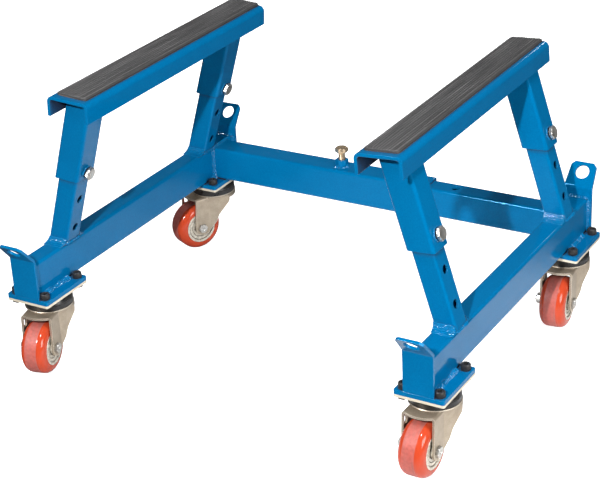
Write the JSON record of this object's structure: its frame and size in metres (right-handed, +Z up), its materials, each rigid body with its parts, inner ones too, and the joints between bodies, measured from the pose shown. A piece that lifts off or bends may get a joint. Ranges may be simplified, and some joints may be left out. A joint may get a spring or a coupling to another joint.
{
  "type": "shop dolly",
  "caption": "Low rolling dolly with padded bunks on telescoping legs, a telescoping cross tube with a lock bolt, tie-down ears and swivel casters.",
  "frame": {"origin": "on the floor, under the middle of the whole dolly's box at rest", "axes": "+X to the dolly's right, along the cross tube; +Y to its rear, along the rails; +Z up"},
  "size_m": [0.6686, 0.56, 0.3981],
  "materials": {
    "blue_powder_coat": "satin powder coat",
    "pad_rubber": "matte ribbed rubber",
    "black_oxide": "black oxide",
    "bright_zinc": "bright zinc plate",
    "yellow_zinc": "yellow zinc plate",
    "fork_zinc": "satin zinc plate",
    "plate_zinc": "pale yellow zinc plate",
    "ring_black": "black, semi-gloss",
    "wheel_polyurethane": "gloss polyurethane"
  },
  "bodies": {
    "left_frame": {"left_rail": "blue_powder_coat", "left_front_end_plate": "blue_powder_coat", "left_front_mount_plate": "blue_powder_coat", "left_front_leg": "blue_powder_coat", "left_front_caster_plate": "plate_zinc", "left_rear_end_plate": "blue_powder_coat", "left_rear_mount_plate": "blue_powder_coat", "left_rear_leg": "blue_powder_coat", "left_rear_caster_plate": "plate_zinc", "left_caster_screws": "black_oxide", "left_caster_nuts": "black_oxide", "left_kingpins": "plate_zinc", "outer_cross_tube": "blue_powder_coat", "cross_lock_nut": "blue_powder_coat"},
    "right_frame": {"right_rail": "blue_powder_coat", "right_front_end_plate": "blue_powder_coat", "right_front_mount_plate": "blue_powder_coat", "right_front_leg": "blue_powder_coat", "right_front_caster_plate": "plate_zinc", "right_rear_end_plate": "blue_powder_coat", "right_rear_mount_plate": "blue_powder_coat", "right_rear_leg": "blue_powder_coat", "right_rear_caster_plate": "plate_zinc", "right_caster_screws": "black_oxide", "right_caster_nuts": "black_oxide", "right_kingpins": "plate_zinc", "inner_cross_tube": "blue_powder_coat"},
    "left_bunk": {"left_front_sleeve": "blue_powder_coat", "left_rear_sleeve": "blue_powder_coat", "left_bunk_channel": "blue_powder_coat", "left_pad": "pad_rubber"},
    "right_bunk": {"right_front_sleeve": "blue_powder_coat", "right_rear_sleeve": "blue_powder_coat", "right_bunk_channel": "blue_powder_coat", "right_pad": "pad_rubber"},
    "left_front_leg_bolt": {"left_front_leg_bolt": "bright_zinc"},
    "left_front_swivel": {"left_front_fork": "fork_zinc", "left_front_swivel_ring": "ring_black", "left_front_axle_bolt": "bright_zinc"},
    "left_front_wheel": {"left_front_tyre": "wheel_polyurethane", "left_front_hub": "bright_zinc"},
    "left_rear_leg_bolt": {"left_rear_leg_bolt": "bright_zinc"},
    "left_rear_swivel": {"left_rear_fork": "fork_zinc", "left_rear_swivel_ring": "ring_black", "left_rear_axle_bolt": "bright_zinc"},
    "left_rear_wheel": {"left_rear_tyre": "wheel_polyurethane", "left_rear_hub": "bright_zinc"},
    "right_front_leg_bolt": {"right_front_leg_bolt": "bright_zinc"},
    "right_front_swivel": {"right_front_fork": "fork_zinc", "right_front_swivel_ring": "ring_black", "right_front_axle_bolt": "bright_zinc"},
    "right_front_wheel": {"right_front_tyre": "wheel_polyurethane", "right_front_hub": "bright_zinc"},
    "right_rear_leg_bolt": {"right_rear_leg_bolt": "bright_zinc"},
    "right_rear_swivel": {"right_rear_fork": "fork_zinc", "right_rear_swivel_ring": "ring_black", "right_rear_axle_bolt": "bright_zinc"},
    "right_rear_wheel": {"right_rear_tyre": "wheel_polyurethane", "right_rear_hub": "bright_zinc"},
    "cross_lock_bolt": {"cross_lock_bolt": "yellow_zinc"}
  },
  "joints": [
    {"name": "width_slide", "type": "slide", "parent": "left_frame", "child": "right_frame", "axis": [1, 0, 0], "range_m": [-0.186, 0]},
    {"name": "left_bunk_height", "type": "slide", "parent": "left_frame", "child": "left_bunk", "axis": [0.2924, 0, 0.9563], "range_m": [-0.092, 0]},
    {"name": "left_front_leg_bolt_lock", "type": "slide", "parent": "left_bunk", "child": "left_front_leg_bolt", "axis": [-0.9563, 0, 0.2924], "range_m": [0, 0.0024]},
    {"name": "left_front_swivel_turn", "type": "hinge", "parent": "left_frame", "child": "left_front_swivel", "pos_m": [-0.28871, -0.20639, 0.1], "axis": [0, 0, 1], "continuous": true},
    {"name": "left_front_wheel_roll", "type": "hinge", "parent": "left_front_swivel", "child": "left_front_wheel", "pos_m": [-0.28026, -0.24241, 0.0365], "axis": [0.9736, 0.2284, 0], "continuous": true},
    {"name": "left_rear_leg_bolt_lock", "type": "slide", "parent": "left_bunk", "child": "left_rear_leg_bolt", "axis": [-0.9563, 0, 0.2924], "range_m": [0, 0.0024]},
    {"name": "left_rear_swivel_turn", "type": "hinge", "parent": "left_frame", "child": "left_rear_swivel", "pos_m": [-0.28871, 0.21161, 0.1], "axis": [0, 0, 1], "continuous": true},
    {"name": "left_rear_wheel_roll", "type": "hinge", "parent": "left_rear_swivel", "child": "left_rear_wheel", "pos_m": [-0.30493, 0.17835, 0.0365], "axis": [0.8988, -0.4384, 0], "continuous": true},
    {"name": "right_bunk_height", "type": "slide", "parent": "right_frame", "child": "right_bunk", "axis": [-0.2924, 0, 0.9563], "range_m": [-0.092, 0]},
    {"name": "right_front_leg_bolt_lock", "type": "slide", "parent": "right_bunk", "child": "right_front_leg_bolt", "axis": [-0.9563, 0, -0.2924], "range_m": [0, 0.0024]},
    {"name": "right_front_swivel_turn", "type": "hinge", "parent": "right_frame", "child": "right_front_swivel", "pos_m": [0.30029, -0.20639, 0.1], "axis": [0, 0, 1], "continuous": true},
    {"name": "right_front_wheel_roll", "type": "hinge", "parent": "right_front_swivel", "child": "right_front_wheel", "pos_m": [0.29984, -0.24339, 0.0365], "axis": [0.9999, -0.0122, 0], "continuous": true},
    {"name": "right_rear_leg_bolt_lock", "type": "slide", "parent": "right_bunk", "child": "right_rear_leg_bolt", "axis": [-0.9563, 0, -0.2924], "range_m": [0, 0.0024]},
    {"name": "right_rear_swivel_turn", "type": "hinge", "parent": "right_frame", "child": "right_rear_swivel", "pos_m": [0.30029, 0.21161, 0.1], "axis": [0, 0, 1], "continuous": true},
    {"name": "right_rear_wheel_roll", "type": "hinge", "parent": "right_rear_swivel", "child": "right_rear_wheel", "pos_m": [0.30403, 0.1748, 0.0365], "axis": [0.9949, 0.1011, 0], "continuous": true},
    {"name": "cross_lock_bolt_lock", "type": "slide", "parent": "left_frame", "child": "cross_lock_bolt", "axis": [0, 0, -1], "range_m": [0, 0.0123]}
  ]
}
